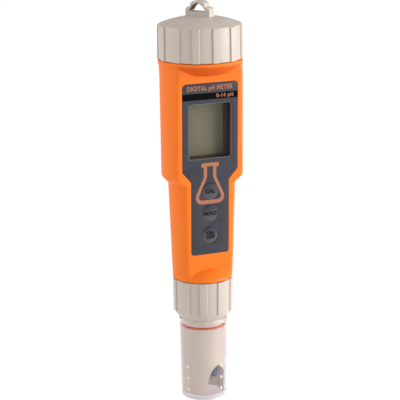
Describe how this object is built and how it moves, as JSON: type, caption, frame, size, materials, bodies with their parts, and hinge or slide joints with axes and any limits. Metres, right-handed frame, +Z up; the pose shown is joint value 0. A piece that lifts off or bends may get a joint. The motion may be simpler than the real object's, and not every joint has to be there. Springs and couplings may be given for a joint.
{
  "type": "pocket pH meter",
  "caption": "Waterproof pen-style pH meter: orange barrel with display and keys, screw battery cap with lanyard eye, collar-held electrode and clear storage cup.",
  "frame": {"origin": "centre of the storage cup's underside, on which the meter stands", "axes": "+Z up along the barrel to the lanyard loop, -Y out of the display and keys, +X to the right of someone who reads the display"},
  "size_m": [0.0392, 0.039, 0.188],
  "materials": {
    "beige_plastic": "satin moulded plastic",
    "orange_plastic": "satin-gloss moulded plastic",
    "label_film": "fine-textured printed film",
    "clear_window": "polished clear acrylic",
    "clear_cup": "polished clear polycarbonate",
    "key_rubber": "satin coated rubber",
    "orange_silicone": "smooth silicone",
    "black_rubber": "smooth moulded rubber",
    "grey_silicone": "matt silicone",
    "black_plastic": "matt moulded plastic",
    "display_cell": "polarised display film on glass",
    "board_green": "solder mask",
    "white_plastic": "satin moulded plastic",
    "electrode_glass": "thin blown glass",
    "porous_ceramic": "fine porous ceramic",
    "violet_resin": "smooth cast resin",
    "gold_contact": "gold flash",
    "nickel": "bright nickel plate",
    "silver": "drawn silver wire",
    "steel": "zinc-plated steel"
  },
  "bodies": {
    "meter": {"barrel": "orange_plastic", "label_overlay": "label_film", "display_window": "clear_window", "key_pad": "grey_silicone", "tact_switches": "black_plastic", "lcd_glass": "display_cell", "lcd_frame": "black_plastic", "zebra_strip": "grey_silicone", "main_board": "board_green", "board_chips": "black_plastic", "board_screws": "steel", "pin_socket": "black_plastic", "chassis": "white_plastic", "battery_holder": "white_plastic", "button_cell_1": "nickel", "button_cell_2": "nickel", "button_cell_3": "nickel", "button_cell_4": "nickel", "lower_contact": "gold_contact", "upper_tab": "gold_contact", "cap_seal": "black_rubber"},
    "cap_contact": {"cap_contact": "gold_contact"},
    "battery_cap": {"battery_cap": "beige_plastic"},
    "electrode": {"electrode_body": "beige_plastic", "cup_ring": "orange_silicone", "glass_electrode": "electrode_glass", "reference_junction": "porous_ceramic", "thermistor": "violet_resin", "silver_wire": "silver", "reference_wire": "silver", "electrode_plug": "white_plastic", "contact_pins": "gold_contact", "electrode_seal": "black_rubber"},
    "collar_nut": {"collar_nut": "beige_plastic"},
    "storage_cup": {"storage_cup": "clear_cup"},
    "key_calibrate": {"key_calibrate": "key_rubber"},
    "key_hold": {"key_hold": "key_rubber"},
    "key_power": {"key_power": "key_rubber"}
  },
  "joints": [
    {"name": "cap_lift", "type": "slide", "parent": "meter", "child": "cap_contact", "axis": [0, 0, 1], "range_m": [0, 0.0106]},
    {"name": "cap_turn", "type": "hinge", "parent": "cap_contact", "child": "battery_cap", "pos_m": [0, 0, 0.17], "axis": [0, 0, 1], "range_deg": [0, 1080]},
    {"name": "electrode_draw", "type": "slide", "parent": "meter", "child": "electrode", "axis": [0, 0, -1], "range_m": [0, 0.0091]},
    {"name": "collar_turn", "type": "hinge", "parent": "electrode", "child": "collar_nut", "pos_m": [0, 0, 0.05], "axis": [0, 0, -1], "range_deg": [0, 1080]},
    {"name": "cup_pull", "type": "slide", "parent": "electrode", "child": "storage_cup", "axis": [0, 0, -1], "range_m": [0, 0.045]},
    {"name": "key_calibrate_press", "type": "slide", "parent": "meter", "child": "key_calibrate", "axis": [0, 0.9997, 0.0249], "range_m": [0, 0.0005], "stiffness_N_per_m": 600, "springref_m": -0.001},
    {"name": "key_hold_press", "type": "slide", "parent": "meter", "child": "key_hold", "axis": [0, 0.9997, 0.0249], "range_m": [0, 0.0005], "stiffness_N_per_m": 600, "springref_m": -0.001},
    {"name": "key_power_press", "type": "slide", "parent": "meter", "child": "key_power", "axis": [0, 0.9997, 0.0249], "range_m": [0, 0.0005], "stiffness_N_per_m": 600, "springref_m": -0.001}
  ],
  "couplings": [
    {"joint": "cap_lift", "follows": "cap_turn", "m_per_rad": 0.00055704},
    {"joint": "electrode_draw", "follows": "collar_turn", "m_per_rad": 0.00047746}
  ]
}
